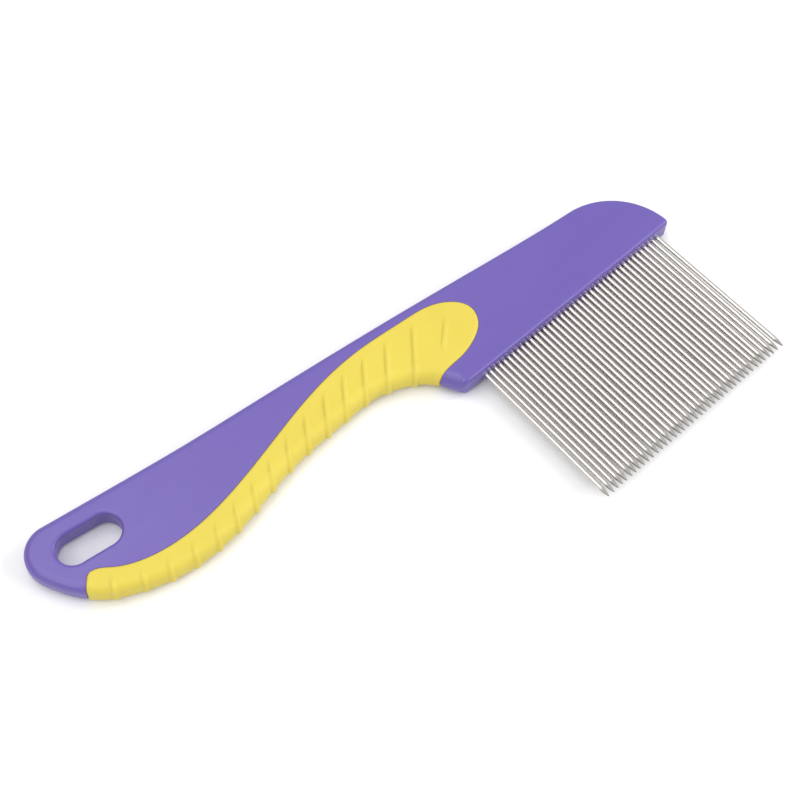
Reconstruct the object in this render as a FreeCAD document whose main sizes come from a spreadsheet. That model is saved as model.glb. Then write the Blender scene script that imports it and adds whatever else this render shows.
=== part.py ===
import FreeCAD, Part
import math
import os

from FreeCAD import Placement, Rotation, Vector

# Flea comb: one plastic handle with a flat head, a soft overmoulded grip along its lower edge, and a row of
# steel pins in the head. It lies flat: +X runs along the row of pins from the hang slot to the nose, the pins
# point along -Y, and +Z is up through the thickness. The origin is under the middle of the bounding box.
#
# Outlines are drawn in comb coordinates, (u, t): u runs along the row from the first pin's axis, and t is the
# height above the tooth face, the edge of the head that the pins come out of.

doc = FreeCAD.newDocument("flea_comb")

# ---------------------------------------------------------------------------------------------------------
# Driving dimensions, in millimetres, degrees and counts
# ---------------------------------------------------------------------------------------------------------

DIMENSIONS = [
    ("pin_count", 41, "pins in the row"),
    ("pin_pitch", 1.5, "spacing of the pins"),
    ("pin_dia", 1.15, "diameter of a pin"),
    ("pin_free", 42.8, "length of a pin outside the head, with its point"),
    ("pin_embed", 10.0, "length of a pin inside the head"),
    ("pin_point", 2.8, "length of the conical point"),
    ("pin_tip_dia", 0.3, "diameter of the blunted tip"),
    ("body_thick", 6.2, "thickness of handle and head"),
    ("body_round", 1.2, "rounding of the handle's edges"),
    ("nose_radius", 18.89, "radius of the nose of the head"),
    ("nose_reach", 64.37, "furthest point of the nose, from the first pin"),
    ("nose_rise", 0.12, "nose's centre above the tooth face"),
    ("nose_turn", 85.0, "angle on the nose where the back starts"),
    ("corner_radius", 1.2, "corner between the tooth face and the nose"),
    ("heel_radius", 2.6, "corner between the tooth face and the lower edge"),
    ("heel_reach", 5.65, "end of the flat tooth face, before the first pin"),
    ("heel_turn", 58.7, "turn of the heel's corner"),
    ("butt_radius", 7.29, "corner between the back and the butt"),
    ("butt_reach", 113.25, "furthest point of the butt, from the first pin"),
    ("butt_rise", 30.56, "centre of the butt's corner above the tooth face"),
    ("butt_turn", 81.3, "angle on the butt's corner where the back ends"),
    ("slot_length", 16.2, "hang slot, end to end"),
    ("slot_width", 8.1, "hang slot, side to side"),
    ("slot_round", 1.0, "rounding of the slot's rim"),
    ("slot_inset", 14.72, "hang slot's centre, from the furthest point of the butt"),
    ("slot_rise", 27.89, "hang slot's centre above the tooth face"),
    ("slot_tilt", 7.6, "slope of the hang slot"),
    ("grip_thick", 6.7, "thickness across the grip"),
    ("grip_round", 2.6, "rounding of the grip's lower edge"),
    ("core_thick", 2.6, "thickness of the handle's core inside the grip"),
    ("core_inset", 3.0, "depth of grip below the core's lower edge"),
    ("core_root", 1.0, "overlap of the core with the full-thickness handle"),
    ("lock_dia", 3.5, "holes in the core that the grip fills"),
    ("rib_count", 15, "ribs that start at the lower edge"),
    ("rib_first", -102.04, "first rib at the lower edge, from the first pin"),
    ("rib_pitch", 6.27, "spacing of the ribs along the row"),
    ("rib_width", 1.2, "width of a rib"),
    ("rib_height", 0.45, "height of a rib above the grip"),
    ("rib_fade", 3.0, "gap between a rib's end and the grip's upper border"),
    ("rib_past", 2.0, "a rib's bar starts this far past the lower edge"),
    ("rib_slant_first", 64.3, "slant of the first rib from the row"),
    ("rib_slant_last", 50.1, "slant of the last rib from the row"),
]

sheet = doc.addObject("Spreadsheet::Sheet", "dimensions")
for row, (alias, value, note) in enumerate(DIMENSIONS, start=1):
    sheet.set("A%d" % row, note)
    sheet.set("B%d" % row, str(value))
    sheet.setAlias("B%d" % row, alias)
doc.recompute()


def dim(alias):
    """The value of one cell of the sheet."""
    return float(sheet.get(alias))


# The back, nearly straight, from the nose to the butt
BACK = [
    (31.02, 20.71),
    (15.19, 22.82),
    (-7.5, 25.78),
    (-31.1, 28.54),
    (-48.75, 30.44),
    (-66.36, 32.37),
    (-83.91, 34.72),
    (-95.57, 36.4),
]

# The lower edge of handle and grip, from the butt round the belly and under the fingers to the heel
LOWER_EDGE = [
    (-111.92, 25.9),
    (-108.83, 20.39),
    (-103.96, 15.29),
    (-96.77, 11.38),
    (-88.17, 8.52),
    (-78.36, 7.52),
    (-67.38, 8.68),
    (-55.38, 11.3),
    (-43.44, 12.72),
    (-33.52, 13.05),
    (-24.11, 13.0),
    (-16.3, 10.45),
    (-11.4, 7.04),
]

# The grip's upper border, from the heel round the thumb pad and back along the handle to the butt.
# Its two ends lie on the lower edge.
GRIP_BORDER = [
    (-7.13, 5.96),
    (-2.14, 6.32),
    (3.77, 7.97),
    (7.45, 10.55),
    (8.95, 14.7),
    (3.96, 20.8),
    (-5.87, 22.96),
    (-19.71, 23.99),
    (-35.58, 22.64),
    (-51.54, 18.94),
    (-67.54, 15.24),
    (-79.49, 13.96),
    (-91.41, 15.41),
    (-98.74, 18.85),
    (-101.9, 20.95),
    (-103.7, 21.15),
    (-105.1, 20.1),
]
GRIP_START = -107.0
GRIP_END = -10.2

# Where the core's lower edge starts and ends, and the shares of the grip's border that the core reaches past
CORE_START = GRIP_START + 6.0
CORE_END = GRIP_END - 1.0
CORE_SHARES = (0.03, 0.965)

# The ribs' blank runs past the grip's two ends by this much
BLANK_OVERRUN = 2.0

# The shares of the grip's border between which it runs back along the handle, above the ribs
RIBBED_SHARES = (0.12, 0.985)

# A rib's bar grows in steps of this length until it is near enough to the border
RIB_STEP = 0.1

# The width left around the outline by the pockets that trim the grip and its ribs
TRIM_MARGIN = 20.0

# Halvings in which a curve's parameter is found from x
HALVINGS = 50

# The short rib in the thumb pad: its two ends
PAD_RIB = [(-5.4, 9.5), (3.0, 17.3)]

# Lock holes through the core, where the grip is widest
LOCK_HOLES = [(-35.6, 19.0), (-24.0, 19.5), (-12.0, 17.7), (0.0, 14.9)]

# ---------------------------------------------------------------------------------------------------------
# Places worked out from the dimensions
# ---------------------------------------------------------------------------------------------------------

pin_count = int(dim("pin_count"))
nose_centre = (dim("nose_reach") - dim("nose_radius"), dim("nose_rise"))
butt_centre = (dim("butt_radius") - dim("butt_reach"), dim("butt_rise"))

# The row frame's origin is the middle of the box in X and Y, and its underside in Z.
row_x = (dim("butt_reach") - dim("nose_reach")) / 2
row_y = (dim("pin_free") - butt_centre[1] - dim("butt_radius")) / 2
MIDDLE = "dimensions.grip_thick / 2 + dimensions.rib_height"


def at(u, t, z=0.0):
    """A point in the row frame, from comb coordinates."""
    return Vector(u + row_x, t + row_y, z)


def on_circle(centre, radius, degrees):
    """The point of a circle at an angle, in the row frame."""
    angle = math.radians(degrees)
    return at(centre[0] + radius * math.cos(angle), centre[1] + radius * math.sin(angle))


def round_arc(centre, radius, first, last):
    """An arc of a circle between two angles in degrees."""
    points = [on_circle(centre, radius, degrees) for degrees in (first, (first + last) / 2, last)]
    return Part.Arc(*points)


def line(start, end):
    """A straight edge."""
    return Part.LineSegment(start, end)


# ---------------------------------------------------------------------------------------------------------
# Curves
# ---------------------------------------------------------------------------------------------------------


def smooth(points, first=None, last=None):
    """A smooth curve through points, with end directions where they are given."""
    curve = Part.BSplineCurve()
    if first is None:
        curve.interpolate(Points=points)
    else:
        curve.interpolate(Points=points, InitialTangent=first, FinalTangent=last, Scale=False)
    return curve


def circle_way(degrees):
    """The direction of a circle's tangent at an angle, counter-clockwise."""
    angle = math.radians(degrees)
    return Vector(-math.sin(angle), math.cos(angle), 0)


back_points = [on_circle(nose_centre, dim("nose_radius"), dim("nose_turn"))]
back_points += [at(u, t) for u, t in BACK]
back_points += [on_circle(butt_centre, dim("butt_radius"), dim("butt_turn"))]
back = smooth(back_points, circle_way(dim("nose_turn")), circle_way(dim("butt_turn")))

heel_centre = (-dim("heel_reach"), dim("heel_radius"))
heel_first = 270 - dim("heel_turn")

lower_points = [on_circle(butt_centre, dim("butt_radius"), 180)]
lower_points += [at(u, t) for u, t in LOWER_EDGE]
lower_points += [on_circle(heel_centre, dim("heel_radius"), heel_first)]
lower_edge = smooth(lower_points, circle_way(180), circle_way(heel_first))


def parameter_at(curve, x, before, after):
    """The parameter where a curve reaches x, by halving; it lies left of x before and right of x after."""
    for _ in range(HALVINGS):
        middle = (before + after) / 2
        if curve.value(middle).x < x:
            before = middle
        else:
            after = middle
    return (before + after) / 2


def lower_at(u):
    """The lower edge's parameter at u."""
    return parameter_at(lower_edge, at(u, 0).x, lower_edge.FirstParameter, lower_edge.LastParameter)


def offset_points(curve, first, last, distance, count):
    """Points beside a curve, a distance to its left, evenly spaced in its parameter."""
    points = []
    for i in range(count):
        where = first + (last - first) * i / (count - 1)
        along = curve.tangent(where)[0]
        left = Vector(-along.y, along.x, 0)
        points.append(curve.value(where) + left * distance)
    return points


def part_of(curve, first, last):
    """One stretch of a curve."""
    piece = curve.copy()
    piece.segment(first, last)
    return piece


grip_lower = part_of(lower_edge, lower_at(GRIP_START), lower_at(GRIP_END))
border_points = [grip_lower.EndPoint] + [at(u, t) for u, t in GRIP_BORDER] + [grip_lower.StartPoint]
grip_border = smooth(border_points)


# ---------------------------------------------------------------------------------------------------------
# Sketches and features
# ---------------------------------------------------------------------------------------------------------


def new_body(name):
    """An empty body whose Label names its file."""
    body = doc.addObject("PartDesign::Body", name)
    body.Label = name
    return body


def sketch_on(body, name, geometry, role="XY_Plane"):
    """A sketch on one of the body's own origin planes."""
    sketch = body.newObject("Sketcher::SketchObject", name)
    plane = [f for f in body.Origin.OriginFeatures if f.Role == role][0]
    sketch.AttachmentSupport = (plane, "")
    sketch.MapMode = "FlatFace"
    for item in geometry:
        sketch.addGeometry(item, False)
    return sketch


def pad(body, name, geometry, thickness):
    """Material on both sides of the middle plane, as thick as an expression says."""
    feature = body.newObject("PartDesign::Pad", name)
    feature.Profile = sketch_on(body, name + "_sketch", geometry)
    feature.SideType = "Symmetric"
    feature.setExpression("Length", thickness)
    doc.recompute()
    return feature


def cut(body, name, geometry, thickness="2 * dimensions.grip_thick"):
    """A pocket about the middle plane: right through, unless an expression gives its thickness."""
    before = body.Shape.Volume
    feature = body.newObject("PartDesign::Pocket", name)
    feature.Profile = sketch_on(body, name + "_sketch", geometry)
    feature.SideType = "Symmetric"
    feature.setExpression("Length", thickness)
    doc.recompute()
    if feature.Shape.Volume > before - 1:
        raise RuntimeError("%s cuts nothing" % name)
    return feature


def round_edges(body, name, wanted, radius):
    """Fillet the edges of the body's last feature that a test picks out."""
    base = body.Tip
    picked = ["Edge%d" % (i + 1) for i, edge in enumerate(base.Shape.Edges) if wanted(edge)]
    if not picked:
        raise RuntimeError("%s finds no edge" % name)
    feature = body.newObject("PartDesign::Fillet", name)
    feature.Base = (base, picked)
    feature.setExpression("Radius", radius)
    doc.recompute()
    return feature


def flat_edge(edge, height):
    """Whether an edge lies in a face, at that height from the middle plane."""
    box = edge.BoundBox
    return box.ZLength < 1e-6 and abs(abs(box.ZMin) - height) < 1e-6


# ---------------------------------------------------------------------------------------------------------
# Outlines
# ---------------------------------------------------------------------------------------------------------


def whole_outline():
    """Handle, head and grip together: tooth face, nose, back, butt, lower edge and heel."""
    nose = dim("nose_radius")
    corner = dim("corner_radius")
    rise = corner - nose_centre[1]
    corner_centre = (nose_centre[0] + math.sqrt((nose - corner) ** 2 - rise**2), corner)
    corner_last = math.degrees(math.asin(rise / (nose - corner)))
    return [
        line(on_circle(heel_centre, dim("heel_radius"), 270), on_circle(corner_centre, corner, 270)),
        round_arc(corner_centre, corner, -90, corner_last),
        round_arc(nose_centre, nose, corner_last, dim("nose_turn")),
        back,
        round_arc(butt_centre, dim("butt_radius"), dim("butt_turn"), 180),
        lower_edge,
        round_arc(heel_centre, dim("heel_radius"), heel_first, 270),
    ]


slot_centre = at(dim("slot_inset") - dim("butt_reach"), dim("slot_rise"))


def slot_outline():
    """The hang slot: two straight sides and two round ends."""
    half = (dim("slot_length") - dim("slot_width")) / 2
    radius = dim("slot_width") / 2
    tilt = math.radians(dim("slot_tilt"))
    along = Vector(math.cos(tilt), -math.sin(tilt), 0)
    across = Vector(math.sin(tilt), math.cos(tilt), 0)
    left = slot_centre - along * half
    right = slot_centre + along * half
    return [
        line(left - across * radius, right - across * radius),
        Part.Arc(right - across * radius, right + along * radius, right + across * radius),
        line(right + across * radius, left + across * radius),
        Part.Arc(left + across * radius, left - along * radius, left - across * radius),
    ]


def grip_outline():
    """The grip seen from above: its part of the lower edge, and its upper border."""
    return [grip_lower, grip_border]


def core_outline():
    """The handle's core: inside the lower edge, and rooted past the grip's border."""
    inset = dim("core_inset")
    root = dim("core_root")
    lower = offset_points(lower_edge, lower_at(CORE_START), lower_at(CORE_END), inset, 12)
    start = grip_border.FirstParameter
    span = grip_border.LastParameter - start
    first, last = [start + share * span for share in CORE_SHARES]
    upper = offset_points(grip_border, first, last, -root, 16)
    return [
        smooth(lower),
        line(lower[-1], upper[0]),
        smooth(upper),
        line(upper[-1], lower[0]),
    ]


def circles(places, diameter):
    """Round holes at places in comb coordinates."""
    return [Part.Circle(at(u, t), Vector(0, 0, 1), diameter / 2) for u, t in places]


# ---------------------------------------------------------------------------------------------------------
# Handle and head, one moulding
# ---------------------------------------------------------------------------------------------------------

handle = new_body("handle")
pad(handle, "slab", whole_outline(), "dimensions.body_thick")
half_body = dim("body_thick") / 2
round_edges(handle, "edge_round", lambda e: flat_edge(e, half_body), "dimensions.body_round")
cut(handle, "hang_slot", slot_outline())


def is_slot_rim(edge):
    """Whether an edge is part of the slot's rim, in one of the two faces."""
    middle = edge.BoundBox.Center
    away = math.hypot(middle.x - slot_centre.x, middle.y - slot_centre.y)
    return flat_edge(edge, half_body) and away < dim("slot_length") / 2


round_edges(handle, "slot_rim", is_slot_rim, "dimensions.slot_round")
cut(handle, "grip_recess", grip_outline())
pad(handle, "core", core_outline(), "dimensions.core_thick")
cut(handle, "lock_holes", circles(LOCK_HOLES, dim("lock_dia")))

bore = handle.newObject("PartDesign::SubtractiveCylinder", "bore")
bore.setExpression("Radius", "dimensions.pin_dia / 2")
bore.setExpression("Height", "dimensions.pin_embed")
bore.Placement = Placement(at(0, dim("pin_embed")), Rotation(Vector(1, 0, 0), 90))
doc.recompute()
bores = handle.newObject("PartDesign::LinearPattern", "bores")
bores.Originals = [bore]
bores.Direction = ([f for f in handle.Origin.OriginFeatures if f.Role == "X_Axis"][0], [""])
bores.setExpression("Length", "(dimensions.pin_count - 1) * dimensions.pin_pitch")
bores.setExpression("Occurrences", "dimensions.pin_count")
handle.Tip = bores
doc.recompute()
handle.setExpression("Placement.Base.z", MIDDLE)

# ---------------------------------------------------------------------------------------------------------
# Grip, one overmould: skin and ribs, hollowed for the core, with plugs through the lock holes
# ---------------------------------------------------------------------------------------------------------

half_grip = dim("grip_thick") / 2
half_rib = half_grip + dim("rib_height")


def surround(inner):
    """A large rectangle with inner outlines in it, so that a pocket leaves only what is inside them."""
    left = -dim("butt_reach") - TRIM_MARGIN
    right = dim("nose_reach") + TRIM_MARGIN
    top = butt_centre[1] + dim("butt_radius") + TRIM_MARGIN
    corners = [at(left, -TRIM_MARGIN), at(right, -TRIM_MARGIN), at(right, top), at(left, top)]
    frame = [line(corners[i], corners[(i + 1) % 4]) for i in range(4)]
    return frame + inner


def blank_outline():
    """The ribs' blank: its lower edge stands out past the grip's by the height of a rib."""
    out = -dim("rib_height")
    first = lower_at(GRIP_START - BLANK_OVERRUN)
    last = lower_at(GRIP_END + BLANK_OVERRUN)
    points = offset_points(lower_edge, first, last, out, 40)
    edge = smooth(points)
    top = at(0, dim("butt_rise")).y
    left = Vector(points[0].x, top, 0)
    right = Vector(points[-1].x, top, 0)
    return [edge, line(points[-1], right), line(right, left), line(left, points[0])]


def bar(start, end):
    """A rib's outline from above: a straight bar between two points."""
    along = (end - start).normalize()
    side = Vector(-along.y, along.x, 0) * (dim("rib_width") / 2)
    corners = [start - side, end - side, end + side, start + side]
    return [line(corners[i], corners[(i + 1) % 4]) for i in range(4)]


def border_y(x):
    """Height of the grip's upper border at x."""
    span = grip_border.LastParameter - grip_border.FirstParameter
    after, before = [grip_border.FirstParameter + share * span for share in RIBBED_SHARES]
    return grip_border.value(parameter_at(grip_border, x, before, after)).y


def rib_bar(number):
    """One rib: from past the lower edge, slanting up to just short of the upper border."""
    share = number / (dim("rib_count") - 1)
    slant = dim("rib_slant_first") + share * (dim("rib_slant_last") - dim("rib_slant_first"))
    way = Vector(math.cos(math.radians(slant)), math.sin(math.radians(slant)), 0)
    foot = lower_edge.value(lower_at(dim("rib_first") + number * dim("rib_pitch")))
    end = foot
    while end.y < border_y(end.x) - dim("rib_fade"):
        end = end + way * RIB_STEP
    return bar(foot - way * dim("rib_past"), end)


skin = new_body("grip_skin")
pad(skin, "grip_slab", whole_outline(), "dimensions.grip_thick")
round_edges(skin, "grip_edge", lambda e: flat_edge(e, half_grip), "dimensions.grip_round")
cut(skin, "grip_trim", surround(grip_outline()))

ribs = new_body("grip_ribs")
pad(ribs, "rib_slab", blank_outline(), "dimensions.grip_thick + 2 * dimensions.rib_height")


def is_blank_edge(edge):
    """Whether an edge is the blank's curved lower edge, in one of its faces."""
    return flat_edge(edge, half_rib) and isinstance(edge.Curve, Part.BSplineCurve)


round_edges(ribs, "rib_edge", is_blank_edge, "dimensions.grip_round + dimensions.rib_height")
bars = [item for number in range(int(dim("rib_count"))) for item in rib_bar(number)]
bars += bar(at(*PAD_RIB[0]), at(*PAD_RIB[1]))
cut(ribs, "rib_trim", surround(bars))

hollow = new_body("grip_hollow")
pad(hollow, "hollow_slab", core_outline(), "dimensions.core_thick")
cut(hollow, "hollow_plugs", circles(LOCK_HOLES, dim("lock_dia")))

ribbed = doc.addObject("Part::MultiFuse", "grip_ribbed")
ribbed.Shapes = [skin, ribs]
grip = doc.addObject("Part::Cut", "grip")
grip.Label = "grip"
grip.Base = ribbed
grip.Tool = hollow
grip.setExpression("Placement.Base.z", MIDDLE)
doc.recompute()

# ---------------------------------------------------------------------------------------------------------
# Pins, each a straight shank with a blunted conical point
# ---------------------------------------------------------------------------------------------------------


def make_pin(number):
    """One pin, set in its bore."""
    name = "pin_%02d" % (number + 1)
    pin = new_body(name)
    shank = pin.newObject("PartDesign::AdditiveCylinder", name + "_shank")
    shank.setExpression("Radius", "dimensions.pin_dia / 2")
    shank.setExpression("Height", "dimensions.pin_embed + dimensions.pin_free - dimensions.pin_point")
    point = pin.newObject("PartDesign::AdditiveCone", name + "_point")
    point.setExpression("Radius1", "dimensions.pin_dia / 2")
    point.setExpression("Radius2", "dimensions.pin_tip_dia / 2")
    point.setExpression("Height", "dimensions.pin_point")
    point.setExpression("Placement.Base.z", name + "_shank.Height")
    root = at(number * dim("pin_pitch"), dim("pin_embed"))
    pin.Placement = Placement(root, Rotation(Vector(1, 0, 0), 90))
    pin.setExpression("Placement.Base.z", MIDDLE)
    return pin


pins = [make_pin(number) for number in range(pin_count)]
doc.recompute()

# ---------------------------------------------------------------------------------------------------------
# Check and write
# ---------------------------------------------------------------------------------------------------------

for item in doc.Objects:
    if "Invalid" in item.State or "Error" in item.State:
        raise RuntimeError("%s failed" % item.Name)

os.makedirs("parts", exist_ok=True)
for node in [handle, grip] + pins:
    shape = node.Shape
    if shape.isNull() or not shape.isValid() or len(shape.Solids) != 1:
        raise RuntimeError("%s is not one valid solid" % node.Label)
    shape.exportStep("parts/%s.step" % node.Label)
    if node not in pins[1:]:
        print(node.Label, round(shape.Volume, 1), shape.BoundBox)
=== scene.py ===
"""A flea comb lying flat: satin plastic handle and head, soft ribbed grip, and a row of steel pins.

Shapes are drawn in comb coordinates, in millimetres: u runs along the row from the first pin, t is the
height above the tooth face, and w is the height above the middle plane of the thickness.
"""

import math

import bpy
import numpy as np
from mathutils import Matrix, Vector, geometry


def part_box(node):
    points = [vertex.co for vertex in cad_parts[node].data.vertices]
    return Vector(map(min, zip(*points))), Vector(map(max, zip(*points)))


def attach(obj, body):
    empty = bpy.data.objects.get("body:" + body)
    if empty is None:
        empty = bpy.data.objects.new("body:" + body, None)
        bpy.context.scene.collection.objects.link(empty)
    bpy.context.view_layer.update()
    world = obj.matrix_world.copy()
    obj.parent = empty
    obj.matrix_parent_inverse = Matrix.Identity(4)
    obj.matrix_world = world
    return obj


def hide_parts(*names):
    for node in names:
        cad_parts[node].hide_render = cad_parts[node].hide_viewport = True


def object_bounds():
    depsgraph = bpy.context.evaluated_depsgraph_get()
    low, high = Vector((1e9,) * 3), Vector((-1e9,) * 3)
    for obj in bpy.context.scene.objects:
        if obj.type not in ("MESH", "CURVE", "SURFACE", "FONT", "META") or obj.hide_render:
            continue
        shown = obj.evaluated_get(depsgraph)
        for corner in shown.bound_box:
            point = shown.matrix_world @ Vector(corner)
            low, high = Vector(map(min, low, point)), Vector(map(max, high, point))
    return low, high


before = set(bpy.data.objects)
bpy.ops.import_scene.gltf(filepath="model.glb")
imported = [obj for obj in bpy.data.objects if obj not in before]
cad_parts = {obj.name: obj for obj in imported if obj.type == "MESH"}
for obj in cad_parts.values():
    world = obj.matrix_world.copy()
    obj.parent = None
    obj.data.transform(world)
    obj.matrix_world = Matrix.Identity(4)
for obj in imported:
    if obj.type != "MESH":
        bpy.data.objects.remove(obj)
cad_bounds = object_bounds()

scene = bpy.context.scene

MM = 0.001
PIN_NAMES = sorted(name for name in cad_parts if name.startswith("pin_"))
HANDLE_LOW, HANDLE_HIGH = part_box("handle")
GRIP_LOW, GRIP_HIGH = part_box("grip")
PIN_LOW, PIN_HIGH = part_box(PIN_NAMES[0])

# The comb coordinates' origin, in the row frame
ORIGIN = np.array([(PIN_LOW.x + PIN_HIGH.x) / 2, HANDLE_LOW.y, (HANDLE_LOW.z + HANDLE_HIGH.z) / 2])

HALF = (HANDLE_HIGH.z - HANDLE_LOW.z) / 2 / MM
PIN_RADIUS = (PIN_HIGH.x - PIN_LOW.x) / 2 / MM
PIN_FREE = (HANDLE_LOW.y - PIN_LOW.y) / MM
PIN_PITCH = (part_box(PIN_NAMES[1])[0].x - PIN_LOW.x) / MM

# The pins spread by this share of the row's width between their roots and their points. Each also leans a
# little sideways and up or down at its point, and the row parts a little after pin GAP_AFTER.
PIN_FAN = 0.018
PIN_LEAN, PIN_RISE = 0.11, 0.06
GAP_AFTER, GAP_WIDTH, GAP_REACH = 12.5, 0.16, 2.5
PIN_SIDES = 20
PIN_SUNK = 1.6
TIP_LENGTH = 2.7
TIP_POWER = 0.44

# Outline sizes
NOSE_CENTRE, NOSE_RADIUS, NOSE_TURN = (45.48, 0.12), 18.89, 85.0
BUTT_CENTRE, BUTT_RADIUS, BUTT_TURN = (-105.96, 30.56), 7.29, 81.3
CORNER_RADIUS = 1.2
HEEL_CENTRE, HEEL_RADIUS, HEEL_TURN = (-5.65, 2.6), 2.6, 211.3
SLOT_CENTRE, SLOT_LENGTH, SLOT_WIDTH, SLOT_TILT = (-98.53, 27.89), 16.2, 8.1, 7.6

# The back, from the nose to the butt
BACK = [
    (31.02, 20.71),
    (15.19, 22.82),
    (-7.5, 25.78),
    (-31.1, 28.54),
    (-48.75, 30.44),
    (-66.36, 32.37),
    (-83.91, 34.72),
    (-95.57, 36.4),
]

# The lower edge, from the butt to the heel
LOWER_EDGE = [
    (-111.92, 25.9),
    (-108.83, 20.39),
    (-103.96, 15.29),
    (-96.77, 11.38),
    (-88.17, 8.52),
    (-78.36, 7.52),
    (-67.38, 8.68),
    (-55.38, 11.3),
    (-43.44, 12.72),
    (-33.52, 13.05),
    (-24.11, 13.0),
    (-16.3, 10.45),
    (-11.4, 7.04),
]

# The grip's upper border, from the heel round the thumb pad and back to the butt
GRIP_BORDER = [
    (-7.13, 5.96),
    (-2.14, 6.32),
    (3.77, 7.97),
    (7.45, 10.55),
    (8.95, 14.7),
    (3.96, 20.8),
    (-5.87, 22.96),
    (-19.71, 23.99),
    (-35.58, 22.64),
    (-51.54, 18.94),
    (-67.54, 15.24),
    (-79.49, 13.96),
    (-91.41, 15.41),
    (-98.74, 18.85),
    (-101.9, 20.95),
    (-103.7, 21.15),
    (-105.1, 20.1),
]
GRIP_START = -107.0
GRIP_END = -10.2

# Roundings of the outer edge, from the tooth face round by the back to the heel, and of the slot's rim
FACE_ROUND, NOSE_ROUND, BACK_ROUND, BUTT_ROUND, HEEL_ROUND = 1.0, 1.1, 1.7, 2.1, 2.8
SLOT_ROUND = 0.9

# Ribs of the grip: where each starts on the lower edge, how it leans, how far it runs past the lower edge,
# and how near it comes to the grip's upper border
RIB_COUNT, RIB_FIRST, RIB_PITCH = 15, -102.04, 6.27
RIB_SLANTS = (64.3, 50.1)
RIB_PAST = 3.0
RIB_CLEARANCE = 1.6
PAD_RIB = ((-5.4, 9.5), (3.0, 17.3))
PAD_RIB_STRENGTH = 0.75
RIB_HALF_WIDTH = 0.66
RIB_FLANK = 0.28
RIB_HEIGHT = 0.45
RIB_FADE = 4.5

# The grip stands this proud of the handle, and both are rounded along the seam between them
GRIP_PROUD = 0.25
GRIP_EDGE = 0.65
GRIP_EDGE_DEPTH = 0.75
HANDLE_EDGE = 0.2

# Distances from the seam of the rows of mesh points beside it
HANDLE_SEAM_ROWS = (0.06, 0.12, 0.2, 0.3, 0.5)
GRIP_SEAM_ROWS = (0.05, 0.12, 0.22, 0.35, 0.5, 0.7, 0.95)

# Grids of mesh points away from the edges: two corners of the box, and the step
HANDLE_GRID = ((-118, -2), (68, 42), 1.6)
GRIP_GRID = ((-112, 2), (12, 28), 0.31)

# How far those grids stay from the rounded edges, and all points from the seam's rows and from the rim
HANDLE_EDGE_GAP, GRIP_EDGE_GAP = 0.9, 0.5
HANDLE_SEAM_GAP, GRIP_SEAM_GAP = 0.75, 1.1
RIM_GAP = 0.04

# Spots worked on at a time, to save memory
BATCH = 4000

# Anything nearer than this to the middle plane is on it
ON_MIDDLE = 1e-6


# ---------------------------------------------------------------------------------------------------------
# Curves
# ---------------------------------------------------------------------------------------------------------


def arc(centre, radius, first, last, step):
    """Points of a circle between two angles in degrees."""
    count = max(3, int(abs(math.radians(last - first)) * radius / step) + 1)
    angles = np.radians(np.linspace(first, last, count))
    return np.stack([centre[0] + radius * np.cos(angles), centre[1] + radius * np.sin(angles)], 1)


def circle_way(degrees):
    """The direction of a circle's tangent at an angle, counter-clockwise."""
    angle = math.radians(degrees)
    return (-math.sin(angle), math.cos(angle))


def spline(points, first, last, step):
    """Points of a cubic spline through points; its ends have given directions, or none."""
    points = np.array(points, float)
    count = len(points)
    chord = np.linalg.norm(np.diff(points, axis=0), axis=1)
    matrix = np.zeros((count, count))
    right = np.zeros((count, 2))
    for i in range(1, count - 1):
        before, after = chord[i - 1], chord[i]
        matrix[i, i - 1 : i + 2] = after, 2 * (before + after), before
        step_in = after * (points[i] - points[i - 1]) / before
        step_out = before * (points[i + 1] - points[i]) / after
        right[i] = 3 * (step_in + step_out)
    matrix[0, :2] = (1, 0) if first is not None else (2, 1)
    right[0] = first if first is not None else 3 * (points[1] - points[0]) / chord[0]
    matrix[-1, -2:] = (0, 1) if last is not None else (1, 2)
    right[-1] = last if last is not None else 3 * (points[-1] - points[-2]) / chord[-1]
    slope = np.linalg.solve(matrix, right)
    pieces = []
    for i in range(count - 1):
        s = np.linspace(0, 1, max(2, int(chord[i] / step) + 1))[:-1, None]
        curve = (1 + 2 * s) * (1 - s) ** 2 * points[i] + s * (1 - s) ** 2 * chord[i] * slope[i]
        curve += s**2 * (3 - 2 * s) * points[i + 1] + s**2 * (s - 1) * chord[i] * slope[i + 1]
        pieces.append(curve)
    return np.concatenate(pieces + [points[-1:]])


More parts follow.
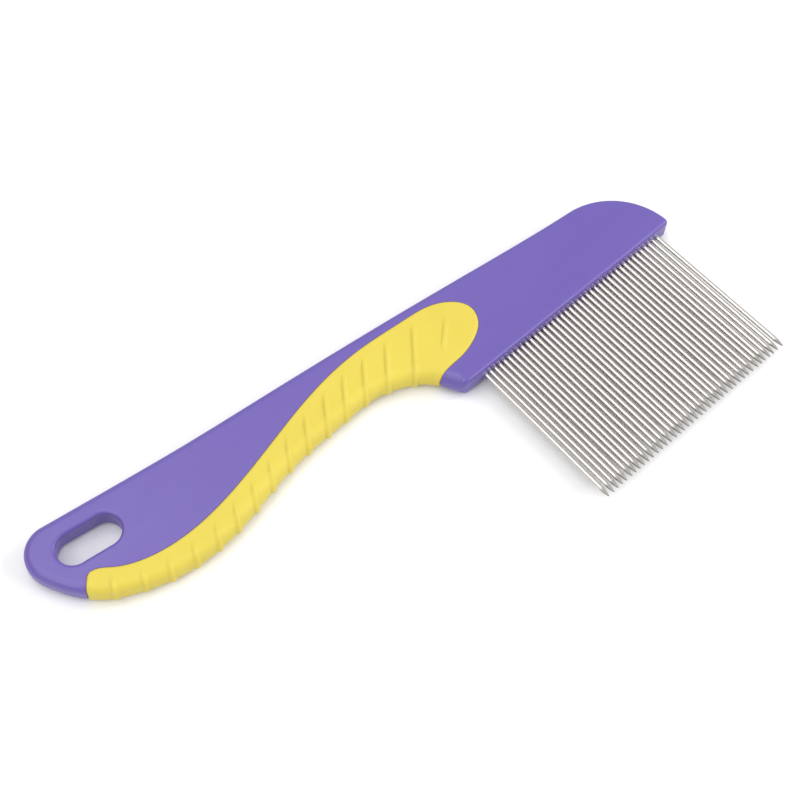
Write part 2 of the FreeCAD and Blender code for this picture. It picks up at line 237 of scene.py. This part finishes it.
class Loop:
    """A closed outline with the material on its left: points, inward normals, and its edge's rounding."""

    def __init__(self, points, rounding):
        keep = np.linalg.norm(points - np.roll(points, 1, axis=0), axis=1) > 1e-4
        self.points = points[keep]
        self.rounding = rounding[keep]
        ahead = np.roll(self.points, -1, axis=0) - self.points
        length = np.linalg.norm(ahead, axis=1, keepdims=True)
        way = ahead / length
        before = np.roll(way, 1, axis=0)
        weight = np.roll(length, 1, axis=0)
        tangent = way * weight + before * length
        tangent /= np.linalg.norm(tangent, axis=1, keepdims=True)
        self.normals = np.stack([-tangent[:, 1], tangent[:, 0]], 1)

    def nearest(self, spots):
        """For each spot: its distance inside the outline, the foot point, its normal and its rounding."""
        after = np.roll(self.points, -1, axis=0)
        index = np.empty(len(spots), int)
        for start in range(0, len(spots), BATCH):
            part = spots[start : start + BATCH]
            gap = ((part[:, None, :] - self.points[None]) ** 2).sum(2)
            index[start : start + BATCH] = gap.argmin(1)
        best = None
        for shift in (-1, 0):
            i = (index + shift) % len(self.points)
            j = (i + 1) % len(self.points)
            edge = after[i] - self.points[i]
            share = ((spots - self.points[i]) * edge).sum(1) / (edge**2).sum(1)
            share = np.clip(share, 0, 1)[:, None]
            foot = self.points[i] + edge * share
            normal = self.normals[i] * (1 - share) + self.normals[j] * share
            normal /= np.linalg.norm(normal, axis=1, keepdims=True)
            rounding = self.rounding[i] * (1 - share[:, 0]) + self.rounding[j] * share[:, 0]
            gap = np.linalg.norm(spots - foot, axis=1)
            inside = ((spots - foot) * normal).sum(1)
            found = [inside, foot, normal, rounding, gap]
            if best is None:
                best = found
            else:
                closer = gap < best[4]
                for k, value in enumerate(found):
                    mask = closer[:, None] if value.ndim == 2 else closer
                    best[k] = np.where(mask, value, best[k])
        return best[:4]


def outer_loop():
    """Tooth face, corner, nose, back, butt, lower edge and heel."""
    rise = CORNER_RADIUS - NOSE_CENTRE[1]
    reach = NOSE_RADIUS - CORNER_RADIUS
    corner = (NOSE_CENTRE[0] + math.sqrt(reach**2 - rise**2), CORNER_RADIUS)
    corner_last = math.degrees(math.asin(rise / reach))
    face = np.stack([np.linspace(HEEL_CENTRE[0], corner[0], 60), np.zeros(60)], 1)
    nose_end = arc(NOSE_CENTRE, NOSE_RADIUS, NOSE_TURN, NOSE_TURN + 1, 1)[0]
    butt_end = arc(BUTT_CENTRE, BUTT_RADIUS, BUTT_TURN, BUTT_TURN + 1, 1)[0]
    back = spline([nose_end] + BACK + [butt_end], circle_way(NOSE_TURN), circle_way(BUTT_TURN), 0.9)
    butt_last = arc(BUTT_CENTRE, BUTT_RADIUS, 179, 180, 1)[-1]
    heel_first = arc(HEEL_CENTRE, HEEL_RADIUS, HEEL_TURN, 270, 1)[0]
    lower = spline([butt_last] + LOWER_EDGE + [heel_first], circle_way(180), circle_way(HEEL_TURN), 0.3)
    stretches = [
        (face, FACE_ROUND, FACE_ROUND),
        (arc(corner, CORNER_RADIUS, -90, corner_last, 0.15), FACE_ROUND, FACE_ROUND),
        (arc(NOSE_CENTRE, NOSE_RADIUS, corner_last, NOSE_TURN, 0.4), FACE_ROUND, NOSE_ROUND),
        (back, NOSE_ROUND, BACK_ROUND),
        (arc(BUTT_CENTRE, BUTT_RADIUS, BUTT_TURN, 180, 0.3), BACK_ROUND, BUTT_ROUND),
        (lower, BUTT_ROUND, HEEL_ROUND),
        (arc(HEEL_CENTRE, HEEL_RADIUS, HEEL_TURN, 270, 0.15), HEEL_ROUND, FACE_ROUND),
    ]
    points = np.concatenate([s[0] for s in stretches])
    rounding = np.concatenate([np.linspace(s[1], s[2], len(s[0])) for s in stretches])
    return Loop(points, rounding)


def slot_loop():
    """The hang slot, clockwise, so that the material is on its left."""
    radius = SLOT_WIDTH / 2
    half = (SLOT_LENGTH - SLOT_WIDTH) / 2
    ends = [arc((half, 0), radius, 90, -90, 0.3), arc((-half, 0), radius, -90, -270, 0.3)]
    side = np.stack([np.linspace(half, -half, 14)[1:-1], np.full(12, -radius)], 1)
    points = np.concatenate([ends[0], side, ends[1], -side])
    tilt = math.radians(-SLOT_TILT)
    turn = np.array([[math.cos(tilt), -math.sin(tilt)], [math.sin(tilt), math.cos(tilt)]])
    points = points @ turn.T + np.array(SLOT_CENTRE)
    return Loop(points, np.full(len(points), SLOT_ROUND))


OUTER = outer_loop()
SLOT = slot_loop()


def lower_point(u):
    """The lower edge's sample nearest to u."""
    facing = (OUTER.normals[:, 1] > -0.2) & (OUTER.points[:, 1] < BUTT_CENTRE[1])
    rows = np.where(facing & (OUTER.points[:, 0] < HEEL_CENTRE[0] - HEEL_RADIUS))[0]
    return rows[np.abs(OUTER.points[rows, 0] - u).argmin()]


START = lower_point(GRIP_START)
END = lower_point(GRIP_END)
LOWER_ROWS = np.arange(START, END + 1)
GRIP_LOWER = OUTER.points[LOWER_ROWS]
BORDER = spline([OUTER.points[END]] + GRIP_BORDER + [OUTER.points[START]], None, None, 0.3)


# ---------------------------------------------------------------------------------------------------------
# The slab's upper half, unrolled into a plane: flat inside, rolled down round the edges to the middle plane
# ---------------------------------------------------------------------------------------------------------


def unroll(plan):
    """The unrolled place of points that are given in plan, on the outer edge's rounding."""
    inside, foot, normal, rounding = OUTER.nearest(plan)
    share = np.clip(1 - inside / rounding, 0, 1)
    rolled = rounding - rounding * np.arcsin(share)
    where = np.where(inside < rounding, rolled, inside)
    return foot + normal * where[:, None]


def lift(spots):
    """Unrolled spots on the slab: their place in space, and the direction out of the surface."""
    place = np.concatenate([spots, np.full((len(spots), 1), HALF)], 1)
    out = np.tile([0.0, 0.0, 1.0], (len(spots), 1))
    for loop in (OUTER, SLOT):
        inside, foot, normal, rounding = loop.nearest(spots)
        rolled = np.where(inside < rounding)[0]
        if loop is SLOT:
            rolled = rolled[inside[rolled] > -HALF - 1]
        r = rounding[rolled]
        way = r - inside[rolled]
        angle = np.clip(way / r, 0, math.pi / 2)
        down = np.maximum(0, way - r * math.pi / 2)
        n = normal[rolled]
        depth = r - r * np.sin(angle)
        place[rolled, :2] = foot[rolled] + n * depth[:, None]
        place[rolled, 2] = np.maximum(0, HALF - r + r * np.cos(angle) - down)
        out[rolled, :2] = -n * np.sin(angle)[:, None]
        out[rolled, 2] = np.cos(angle)
    return place, out


def rows_of(loop):
    """How far in the rows of points beside an edge lie, from the middle plane to past the rounding."""
    r = loop.rounding[:, None]
    wall = np.array([0.0, 0.5]) * (HALF - r)
    bend = (HALF - r) + r * np.linspace(0, math.pi / 2, 9)[None]
    way = np.concatenate([wall, bend, bend[:, -1:] + 0.35], 1)
    whole = (HALF - r) + r * math.pi / 2
    return r - (whole - way)


def inside_of(spots, ring):
    """Whether each spot is inside a closed ring of points."""
    result = np.zeros(len(spots), bool)
    x0, y0 = ring[:, 0], ring[:, 1]
    x1, y1 = np.roll(x0, -1), np.roll(y0, -1)
    for start in range(0, len(spots), BATCH):
        x = spots[start : start + BATCH, :1]
        y = spots[start : start + BATCH, 1:]
        cross = (y0 > y) != (y1 > y)
        with np.errstate(divide="ignore", invalid="ignore"):
            at = x0 + (y - y0) / (y1 - y0) * (x1 - x0)
        result[start : start + BATCH] = (cross & (x < at)).sum(1) % 2 == 1
    return result


def distance_to(spots, line):
    """Distance of each spot from an open line of points."""
    best = np.full(len(spots), np.inf)
    start, step = line[:-1], np.diff(line, axis=0)
    for first in range(0, len(spots), BATCH):
        part = spots[first : first + BATCH, None, :]
        share = np.clip(((part - start) * step).sum(2) / (step**2).sum(1), 0, 1)
        gap = part - start - step * share[..., None]
        best[first : first + BATCH] = np.sqrt((gap**2).sum(2)).min(1)
    return best


def border_line():
    """The border, unrolled, with its two stretches down the side walls at the heel and at the butt."""
    wall = []
    for index in (END, START):
        r = OUTER.rounding[index]
        outline = r - r * math.pi / 2
        lowest = outline - (HALF - r)
        way = np.linspace(lowest, outline, 6)[:-1]
        wall.append(OUTER.points[index] + OUTER.normals[index] * way[:, None])
    return np.concatenate([wall[0], unroll(BORDER), wall[1][::-1]])


def beside(line, distance):
    """A line at a distance to the left of another."""
    tangent = np.gradient(line, axis=0)
    tangent /= np.linalg.norm(tangent, axis=1, keepdims=True)
    return line + np.stack([-tangent[:, 1], tangent[:, 0]], 1) * distance


SEAM = border_line()
OUTER_ROWS = rows_of(OUTER)


def ring_part(first, last):
    """The outer edge at the middle plane, from one sample to another."""
    count = len(OUTER.points)
    index = np.arange(first, last + 1 if last > first else last + count + 1) % count
    return OUTER.points[index] + OUTER.normals[index] * OUTER_ROWS[index, :1]


def lattice(low, high, step):
    """Points of a grid of triangles over a box."""
    xs = np.arange(low[0], high[0], step)
    ys = np.arange(low[1], high[1], step * 0.87)
    x, y = np.meshgrid(xs, ys)
    x[1::2] += step / 2
    return np.stack([x.ravel(), y.ravel()], 1)


def triangulate(rings, extra):
    """Triangles between closed rings of points, the first outermost, that use the extra points too."""
    points = np.concatenate(rings + [extra])
    edges = []
    start = 0
    for ring in rings:
        edges += [(start + i, start + (i + 1) % len(ring)) for i in range(len(ring))]
        start += len(ring)
    made = geometry.delaunay_2d_cdt([tuple(p) for p in points], edges, [], 0, 1e-6)
    spots = np.array([tuple(p) for p in made[0]])
    faces = np.array([f for f in made[2] if len(f) == 3])
    middle = spots[faces].mean(1)
    keep = inside_of(middle, rings[0])
    for ring in rings[1:]:
        keep &= ~inside_of(middle, ring)
    return spots, faces[keep]


def two_sided(name, spots, faces, seam, place, outward):
    """A mesh of the upper half and its mirror image, closed by a wall between the two along the seam.

    The wall faces one way on the handle, where outward is true, and the other way on the grip.
    """
    on_middle = place[:, 2] < ON_MIDDLE
    count = len(spots)
    mirror = np.where(on_middle, np.arange(count), np.cumsum(~on_middle) - 1 + count)
    lower = place[~on_middle] * np.array([1, 1, -1])
    points = np.concatenate([place, lower])
    polygons = [tuple(f) for f in faces] + [tuple(f) for f in mirror[faces][:, ::-1]]
    rows = np.array([((spots - place_on_seam) ** 2).sum(1).argmin() for place_on_seam in seam])
    sharp = set()
    for a, b in zip(rows[:-1], rows[1:]):
        wall = [b, a, mirror[a], mirror[b]]
        wall = [v for k, v in enumerate(wall) if v != wall[k - 1]]
        if len(wall) > 2:
            polygons.append(tuple(wall if outward else wall[::-1]))
        sharp.add(frozenset((int(a), int(b))))
        sharp.add(frozenset((int(mirror[a]), int(mirror[b]))))
    mesh = bpy.data.meshes.new(name)
    polygons = [tuple(int(i) for i in p) for p in polygons]
    mesh.from_pydata((points * MM + ORIGIN).tolist(), [], polygons)
    mesh.validate()
    mesh.shade_smooth()
    for edge in mesh.edges:
        if frozenset(edge.vertices) in sharp:
            edge.use_edge_sharp = True
    piece = bpy.data.objects.new(name, mesh)
    scene.collection.objects.link(piece)
    weighted = piece.modifiers.new("face_weights", "WEIGHTED_NORMAL")
    weighted.keep_sharp = True
    return piece


def rounded_drop(distance, radius):
    """How far a rounded edge falls at a distance from it."""
    near = np.clip(1 - distance / radius, 0, 1)
    return radius - radius * np.sqrt(1 - near**2)


def edge_points(loop, rows, keep):
    """The rows of points beside an edge, at the samples that are kept."""
    spots = loop.points[keep][:, None] + loop.normals[keep][:, None] * rows[keep][..., None]
    return spots[:, 1:].reshape(-1, 2)


# ---------------------------------------------------------------------------------------------------------
# Handle
# ---------------------------------------------------------------------------------------------------------


def make_handle():
    """The handle and head: everything outside the seam, with a small rounding along it."""
    count = len(OUTER.points)
    ring = ring_part(END, START)
    outer = np.concatenate([ring, SEAM[::-1][1:-1]])
    slot_rows = rows_of(SLOT)
    hole = SLOT.points + SLOT.normals * slot_rows[:, :1]
    index = np.arange(END, START + count) % count
    extra = [edge_points(OUTER, OUTER_ROWS, index)]
    extra.append(edge_points(SLOT, slot_rows, np.arange(len(SLOT.points))))
    close = [beside(SEAM, -d) for d in HANDLE_SEAM_ROWS]
    grid = lattice(*HANDLE_GRID)
    inside, _, _, rounding = OUTER.nearest(grid)
    slot_inside, _, _, slot_rounding = SLOT.nearest(grid)
    clear = (inside > rounding + HANDLE_EDGE_GAP) & (slot_inside > slot_rounding + HANDLE_EDGE_GAP)
    grid = grid[clear]
    extra = np.concatenate(extra + [grid])
    extra = extra[distance_to(extra, SEAM) > HANDLE_SEAM_GAP]
    extra = np.concatenate([extra] + close)
    inner = inside_of(extra, outer) & ~inside_of(extra, hole)
    extra = extra[inner]
    extra = extra[distance_to(extra, ring) > RIM_GAP]
    spots, faces = triangulate([outer, hole], extra)
    place, out = lift(spots)
    place -= out * rounded_drop(distance_to(spots, SEAM), HANDLE_EDGE)[:, None]
    return two_sided("handle_moulding", spots, faces, SEAM, place, True)


# ---------------------------------------------------------------------------------------------------------
# Grip
# ---------------------------------------------------------------------------------------------------------


def rib_lines():
    """The ribs in plan: start, end and strength."""
    upper = BORDER[np.argsort(BORDER[:, 0])]
    upper = upper[upper[:, 1] > np.interp(upper[:, 0], GRIP_LOWER[:, 0], GRIP_LOWER[:, 1]) + 2]
    reach = np.arange(0, 25, 0.1)
    lines = []
    for number in range(RIB_COUNT):
        share = number / (RIB_COUNT - 1)
        slant = math.radians(RIB_SLANTS[0] + share * (RIB_SLANTS[1] - RIB_SLANTS[0]))
        way = np.array([math.cos(slant), math.sin(slant)])
        foot = OUTER.points[lower_point(RIB_FIRST + number * RIB_PITCH)]
        track = foot + way * reach[:, None]
        ceiling = np.interp(track[:, 0], upper[:, 0], upper[:, 1]) - RIB_CLEARANCE
        end = reach[np.argmax(track[:, 1] > ceiling)]
        lines.append((foot - way * RIB_PAST, foot + way * end, 1.0))
    lines.append((np.array(PAD_RIB[0]), np.array(PAD_RIB[1]), PAD_RIB_STRENGTH))
    return lines


def rib_height(plan):
    """Height of the ribs over the grip at points in plan."""
    height = np.zeros(len(plan))
    for start, end, strength in rib_lines():
        way = end - start
        length = np.linalg.norm(way)
        way = way / length
        along = (plan - start) @ way
        across = np.abs((plan - start) @ np.array([-way[1], way[0]]))
        flank = np.clip((RIB_HALF_WIDTH - across) / RIB_FLANK, 0, 1)
        bump = flank * flank * (3 - 2 * flank)
        fade = np.clip((length - along) / RIB_FADE, 0, 1)
        fade = fade * fade * (3 - 2 * fade)
        if strength < 1:
            rise = np.clip(along / RIB_FADE, 0, 1)
            fade = fade * rise * rise * (3 - 2 * rise)
        fade = np.where((along < 0) | (along > length), 0, fade)
        height = np.maximum(height, bump * fade * strength)
    return height * RIB_HEIGHT


def make_grip():
    """The grip: everything inside the seam, a little proud of the handle, with its ribs."""
    ring = ring_part(START, END)
    outer = np.concatenate([ring, SEAM[1:-1]])
    extra = edge_points(OUTER, OUTER_ROWS, LOWER_ROWS)
    grid = lattice(*GRIP_GRID)
    inside, _, _, rounding = OUTER.nearest(grid)
    grid = grid[inside > rounding + GRIP_EDGE_GAP]
    extra = np.concatenate([extra, grid])
    extra = extra[distance_to(extra, SEAM) > GRIP_SEAM_GAP]
    close = [beside(SEAM, d) for d in GRIP_SEAM_ROWS]
    extra = np.concatenate([extra] + close)
    extra = extra[inside_of(extra, outer)]
    extra = extra[distance_to(extra, ring) > RIM_GAP]
    spots, faces = triangulate([outer], extra)
    place, out = lift(spots)
    on_middle = place[:, 2] < ON_MIDDLE
    rise = GRIP_PROUD * out[:, 2] + rib_height(place[:, :2])
    rise -= rounded_drop(distance_to(spots, SEAM), GRIP_EDGE) * GRIP_EDGE_DEPTH
    place += out * rise[:, None]
    place[on_middle, 2] = 0
    return two_sided("grip_overmould", spots, faces, SEAM, place, False)


# ---------------------------------------------------------------------------------------------------------
# Pins
# ---------------------------------------------------------------------------------------------------------


def pin_shape(bend, rise, turn):
    """Points and faces of a round pin with a ground point, which leans and rises by its point."""
    profile = [(-PIN_SUNK, 1.0), (0.0, 1.0), (0.6, 1.0)]
    profile += [(along, 1.0) for along in np.linspace(4, PIN_FREE - TIP_LENGTH - 0.3, 9)]
    for share in (1.0, 0.85, 0.7, 0.55, 0.4, 0.27, 0.16, 0.08, 0.03, 0.008):
        profile.append((PIN_FREE - TIP_LENGTH * share, share**TIP_POWER))
    angles = np.linspace(0, 2 * math.pi, PIN_SIDES, endpoint=False) + turn
    circle = np.stack([np.cos(angles), np.zeros(PIN_SIDES), np.sin(angles)], 1)
    rings = []
    for along, size in profile:
        share = max(0.0, along) / PIN_FREE
        middle = np.array([bend * share, -along, rise * share])
        rings.append(middle + circle * size * PIN_RADIUS)
    points = np.concatenate(rings + [[middle + np.array([0, -0.02, 0])]])
    faces = []
    for ring in range(len(profile) - 1):
        for side in range(PIN_SIDES):
            a = ring * PIN_SIDES + side
            b = ring * PIN_SIDES + (side + 1) % PIN_SIDES
            faces.append((a, b, b + PIN_SIDES, a + PIN_SIDES))
    last = (len(profile) - 1) * PIN_SIDES
    for side in range(PIN_SIDES):
        faces.append((last + side, last + (side + 1) % PIN_SIDES, len(points) - 1))
    faces.append(tuple(range(PIN_SIDES))[::-1])
    return points, faces


def make_pins():
    """All pins, each leaning a little its own way."""
    rng = np.random.default_rng(41)
    lean = rng.normal(0, PIN_LEAN, len(PIN_NAMES))
    rise = rng.normal(0, PIN_RISE, len(PIN_NAMES))
    pieces = []
    for number, node in enumerate(PIN_NAMES):
        from_gap = number - GAP_AFTER
        gap = GAP_WIDTH * math.tanh(from_gap * 2) * math.exp(-abs(from_gap) / GAP_REACH)
        spread = PIN_FAN * (number - (len(PIN_NAMES) - 1) / 2) * PIN_PITCH
        points, faces = pin_shape(spread + lean[number] + gap, rise[number], rng.uniform(0, 0.3))
        points[:, 0] += number * PIN_PITCH
        mesh = bpy.data.meshes.new(node + "_steel")
        mesh.from_pydata((points * MM + ORIGIN).tolist(), [], faces)
        mesh.shade_smooth()
        piece = bpy.data.objects.new(node + "_steel", mesh)
        scene.collection.objects.link(piece)
        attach(piece, "root")
        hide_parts(node)
        pieces.append(piece)
    return pieces


# ---------------------------------------------------------------------------------------------------------
# Materials
# ---------------------------------------------------------------------------------------------------------


class Shader:
    """A node material with a few shortcuts."""

    def __init__(self, name):
        self.material = bpy.data.materials.new(name)
        self.material.use_nodes = True
        self.tree = self.material.node_tree
        self.main = self.tree.nodes["Principled BSDF"]
        self.place = self.node("ShaderNodeTexCoord").outputs["Object"]

    def node(self, kind, **values):
        made = self.tree.nodes.new(kind)
        for key, value in values.items():
            setattr(made, key, value)
        return made

    def link(self, source, target):
        self.tree.links.new(source, target)

    def noise(self, scale, detail=2.0, rough=0.5, stretch=None):
        made = self.node("ShaderNodeTexNoise")
        made.inputs["Scale"].default_value = scale
        made.inputs["Detail"].default_value = detail
        made.inputs["Roughness"].default_value = rough
        if stretch:
            mapping = self.node("ShaderNodeMapping")
            mapping.inputs["Scale"].default_value = stretch
            self.link(self.place, mapping.inputs["Vector"])
            self.link(mapping.outputs["Vector"], made.inputs["Vector"])
        else:
            self.link(self.place, made.inputs["Vector"])
        return made.outputs["Fac"]

    def ramp(self, source, low, high, first, last):
        made = self.node("ShaderNodeMapRange")
        made.inputs["From Min"].default_value = low
        made.inputs["From Max"].default_value = high
        made.inputs["To Min"].default_value = first
        made.inputs["To Max"].default_value = last
        self.link(source, made.inputs["Value"])
        return made.outputs["Result"]

    def blend(self, share, first, second):
        made = self.node("ShaderNodeMix", data_type="RGBA")
        made.inputs["A"].default_value = (*first, 1)
        made.inputs["B"].default_value = (*second, 1)
        self.link(share, made.inputs["Factor"])
        return made.outputs["Result"]

    def bump(self, source, strength, distance, under=None):
        made = self.node("ShaderNodeBump")
        made.inputs["Strength"].default_value = strength
        made.inputs["Distance"].default_value = distance
        self.link(source, made.inputs["Height"])
        if under:
            self.link(under, made.inputs["Normal"])
        return made.outputs["Normal"]


def plastic():
    """Satin moulded plastic: fine spark-eroded grain, faint flow marks and small scuffs."""
    s = Shader("handle_plastic")
    flow = s.ramp(s.noise(22, 3, 0.55, (0.5, 1.4, 1)), 0.3, 0.7, 0, 1)
    colour = s.blend(flow, (0.123, 0.084, 0.335), (0.133, 0.091, 0.355))
    s.link(colour, s.main.inputs["Base Color"])
    scuff = s.noise(260, 4, 0.6, (0.3, 1, 1))
    s.link(s.ramp(scuff, 0.35, 0.7, 0.3, 0.4), s.main.inputs["Roughness"])
    grain = s.bump(s.noise(3800, 2), 0.16, 0.00003)
    s.link(s.bump(s.noise(1300, 2), 0.2, 0.0001, grain), s.main.inputs["Normal"])
    s.main.inputs["IOR"].default_value = 1.47
    return s.material


def rubber():
    """Soft thermoplastic rubber: matte, a fine grain, and a faint mottle."""
    s = Shader("grip_rubber")
    mottle = s.ramp(s.noise(55, 3, 0.6), 0.3, 0.7, 0, 1)
    colour = s.blend(mottle, (0.61, 0.49, 0.057), (0.64, 0.52, 0.064))
    s.link(colour, s.main.inputs["Base Color"])
    s.link(s.ramp(s.noise(400, 3), 0.35, 0.65, 0.5, 0.64), s.main.inputs["Roughness"])
    grain = s.bump(s.noise(3000, 3), 0.2, 0.00005)
    s.link(s.bump(s.noise(500, 2), 0.12, 0.0001, grain), s.main.inputs["Normal"])
    s.main.inputs["Subsurface Weight"].default_value = 0.12
    s.main.inputs["Subsurface Radius"].default_value = (0.0012, 0.0009, 0.0003)
    s.main.inputs["Subsurface Scale"].default_value = 1.0
    return s.material


def steel():
    """Drawn and polished steel wire with fine lines along it; rougher where the points are ground, and
    painted shade darkens their colour there.
    """
    s = Shader("pin_steel")
    lines = s.noise(900, 2, 0.5, (1, 0.02, 1))
    apart = s.node("ShaderNodeSeparateXYZ")
    s.link(s.place, apart.inputs["Vector"])
    wire_ends = PIN_LOW.y + 1.15 * TIP_LENGTH * MM
    point_starts = PIN_LOW.y + 0.75 * TIP_LENGTH * MM
    # Mask of the ground points: it makes them rougher, and it also lays the painted shade below on their
    # colour.
    ground = s.ramp(apart.outputs["Y"], wire_ends, point_starts, 0, 1)
    bright = s.blend(lines, (0.575, 0.545, 0.52), (0.635, 0.605, 0.575))
    # Painted shade: the points' colour is darkened to about half, standing in for the shade that falls on
    # their cones.
    painted_point_shade = s.blend(ground, (1, 1, 1), (0.52, 0.52, 0.52))
    both = s.node("ShaderNodeMix", data_type="RGBA", blend_type="MULTIPLY")
    both.inputs["Factor"].default_value = 1
    s.link(bright, both.inputs["A"])
    s.link(painted_point_shade, both.inputs["B"])
    s.link(both.outputs["Result"], s.main.inputs["Base Color"])
    wire = s.ramp(lines, 0.3, 0.7, 0.2, 0.3)
    rough = s.node("ShaderNodeMix")
    s.link(ground, rough.inputs["Factor"])
    s.link(wire, rough.inputs["A"])
    rough.inputs["B"].default_value = 0.5
    s.link(rough.outputs["Result"], s.main.inputs["Roughness"])
    s.main.inputs["Metallic"].default_value = 1.0
    return s.material


def floor_material():
    """Plain pale paper."""
    s = Shader("floor_paper")
    s.main.inputs["Base Color"].default_value = (0.85, 0.85, 0.855, 1)
    s.main.inputs["Roughness"].default_value = 0.85
    s.main.inputs["Specular IOR Level"].default_value = 0.1
    return s.material


# ---------------------------------------------------------------------------------------------------------
# Build
# ---------------------------------------------------------------------------------------------------------

handle = make_handle()
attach(handle, "root")
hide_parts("handle")
handle.data.materials.append(plastic())

grip = make_grip()
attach(grip, "root")
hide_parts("grip")
grip.data.materials.append(rubber())

steel_material = steel()
for pin in make_pins():
    pin.data.materials.append(steel_material)

# Floor, light and camera

FLOOR_REACH = 3.0
FLOOR_GAP = 0.00005
corners = [(x * FLOOR_REACH, y * FLOOR_REACH, 0) for x, y in ((-1, -1), (1, -1), (1, 1), (-1, 1))]
floor_mesh = bpy.data.meshes.new("floor")
floor_mesh.from_pydata(corners, [], [(0, 1, 2, 3)])
floor = bpy.data.objects.new("floor", floor_mesh)
floor.location.z = cad_bounds[0][2] - FLOOR_GAP
floor.data.materials.append(floor_material())
scene.collection.objects.link(floor)


def area_light(name, place, aim, width, height, power):
    """A soft rectangular light."""
    data = bpy.data.lights.new(name, "AREA")
    data.shape = "RECTANGLE"
    data.size = width
    data.size_y = height
    data.energy = power
    light = bpy.data.objects.new(name, data)
    light.location = place
    light.rotation_euler = (Vector(aim) - Vector(place)).to_track_quat("-Z", "Y").to_euler()
    scene.collection.objects.link(light)
    return light


area_light("top", (-0.2, 0.25, 1.0), (0, 0, 0), 0.9, 0.9, 5.6)
area_light("front", (0.42, -0.68, 0.6), (0, 0, 0), 0.36, 0.36, 2.8)
area_light("right", (0.8, -0.25, 0.5), (0, 0, 0), 0.36, 0.36, 3.4)
area_light("left", (-0.75, -0.05, 0.65), (0, 0, 0), 0.3, 0.45, 1.8)

world = bpy.data.worlds.new("studio")
scene.world = world
world.use_nodes = True
world.node_tree.nodes["Background"].inputs["Color"].default_value = (1, 1, 1, 1)
world.node_tree.nodes["Background"].inputs["Strength"].default_value = 0.6
scene.view_settings.view_transform = "Standard"

CAMERA_AIM = Vector(ORIGIN + np.array([-20.293, 8.242, 0.0]) * MM)
CAMERA_AZIMUTH, CAMERA_ELEVATION, CAMERA_ROLL = -45.7204, 62.2792, 3.8053
CAMERA_DISTANCE, CAMERA_LENS = 0.417346, 78.210
lens = bpy.data.cameras.new("camera")
lens.lens = CAMERA_LENS
lens.sensor_width = 36
lens.clip_start = 0.01
lens.shift_x = -0.000625
lens.shift_y = 0.000625
camera = bpy.data.objects.new("camera", lens)
turn = Matrix.Rotation(math.radians(CAMERA_AZIMUTH), 3, "Z")
turn = turn @ Matrix.Rotation(math.radians(90 - CAMERA_ELEVATION), 3, "X")
turn = turn @ Matrix.Rotation(math.radians(CAMERA_ROLL), 3, "Z")
camera.location = CAMERA_AIM + turn @ Vector((0, 0, CAMERA_DISTANCE))
camera.rotation_euler = turn.to_euler()
scene.collection.objects.link(camera)
scene.camera = camera
